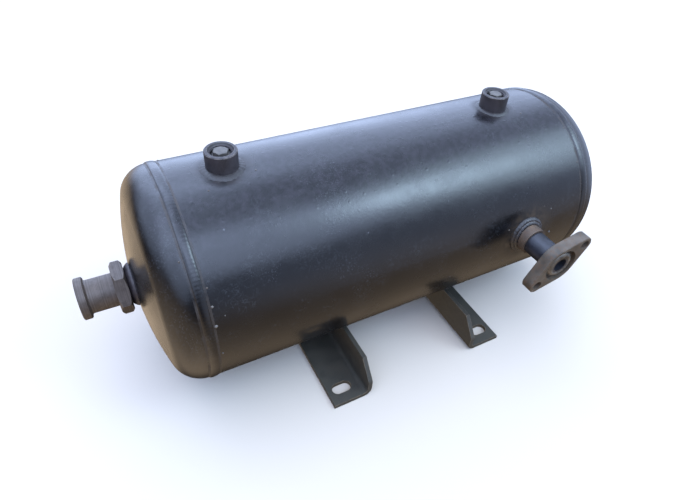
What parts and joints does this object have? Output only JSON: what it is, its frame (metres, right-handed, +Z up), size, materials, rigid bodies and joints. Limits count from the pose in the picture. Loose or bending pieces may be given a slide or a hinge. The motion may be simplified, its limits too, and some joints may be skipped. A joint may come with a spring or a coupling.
{
  "type": "horizontal pressure tank",
  "caption": "Small welded steel air reservoir lying on two angle-bar feet, with plugged top bosses, a flanged side nozzle and a threaded end fitting.",
  "frame": {"origin": "middle of the four foot slots on the plane the feet stand on", "axes": "+X along the tank to its plain head, -Y out through the flanged side nozzle, +Z up"},
  "size_m": [0.5804, 0.3045, 0.2532],
  "materials": {
    "tank_paint": "semi-gloss black paint",
    "plug_steel": "dull grey",
    "pipe_steel": "dark mill scale",
    "rusty_steel": "light rust",
    "flange_steel": "machined, light rust",
    "weld_steel": "bare weld",
    "dark_boss": "dark mill scale",
    "bare_steel": "turned steel",
    "foot_paint": "matt black paint"
  },
  "bodies": {
    "root": {"shell": "tank_paint", "left_head": "tank_paint", "right_head": "tank_paint", "left_girth_weld": "tank_paint", "right_girth_weld": "tank_paint", "left_top_boss": "tank_paint", "right_top_boss": "tank_paint", "left_top_boss_weld": "tank_paint", "right_top_boss_weld": "tank_paint", "left_plug": "plug_steel", "right_plug": "plug_steel", "nozzle_pipe": "pipe_steel", "side_socket": "rusty_steel", "side_socket_weld": "tank_paint", "flange": "flange_steel", "flange_weld": "weld_steel", "end_boss": "dark_boss", "end_boss_weld": "dark_boss", "end_nipple": "bare_steel", "left_foot": "foot_paint", "right_foot": "foot_paint", "left_foot_welds": "foot_paint", "right_foot_welds": "foot_paint"}
  },
  "joints": []
}
